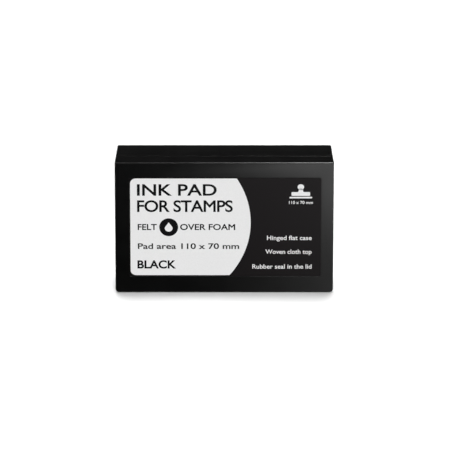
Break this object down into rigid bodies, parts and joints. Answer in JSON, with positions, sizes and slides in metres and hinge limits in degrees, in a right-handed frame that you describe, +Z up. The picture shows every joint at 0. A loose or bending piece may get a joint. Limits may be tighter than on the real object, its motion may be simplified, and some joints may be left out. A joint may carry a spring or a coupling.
{
  "type": "ink pad",
  "caption": "Hinged black ink pad: shallow rectangular case with a labelled lid, a sealed inner liner and a framed, cloth-covered inking surface; it stands closed on its front edge.",
  "frame": {"origin": "centre of the footprint of the closed case standing on its front edge, on the surface it stands on", "axes": "+X along the hinge to the right as the label is read, +Y from the labelled lid face towards the base's underside, +Z up from the front edge to the hinge"},
  "size_m": [0.1268, 0.0212, 0.0892],
  "materials": {
    "case_plastic": "satin black moulding with a fine spark texture",
    "hinge_plastic": "smooth black, thin and flexible",
    "liner_plastic": "smooth dark grey moulding",
    "seal_rubber": "matt black",
    "tray_plastic": "off-white moulding",
    "foam": "open-cell foam soaked with ink",
    "felt": "dense felt soaked with ink",
    "inked_cloth": "fine plain weave, damp with black ink",
    "frame_plastic": "smooth black moulding",
    "label_film": "printed film, satin, white and black",
    "foot_rubber": "matt dark grey"
  },
  "bodies": {
    "base": {"base_shell": "case_plastic", "hinge_web": "hinge_plastic", "pad_tray": "tray_plastic", "foam_core": "foam", "felt_layer": "felt", "ink_cloth": "inked_cloth", "pad_frame": "frame_plastic", "foot_front_left": "foot_rubber", "foot_front_right": "foot_rubber", "foot_rear_left": "foot_rubber", "foot_rear_right": "foot_rubber"},
    "lid": {"lid_shell": "case_plastic", "lid_liner": "liner_plastic", "lid_seal": "seal_rubber", "face_label": "label_film"}
  },
  "joints": [
    {"name": "lid_hinge", "type": "hinge", "parent": "base", "child": "lid", "pos_m": [0, -0.00165, 0.0891], "axis": [-1, 0, 0], "range_deg": [0, 180]}
  ]
}
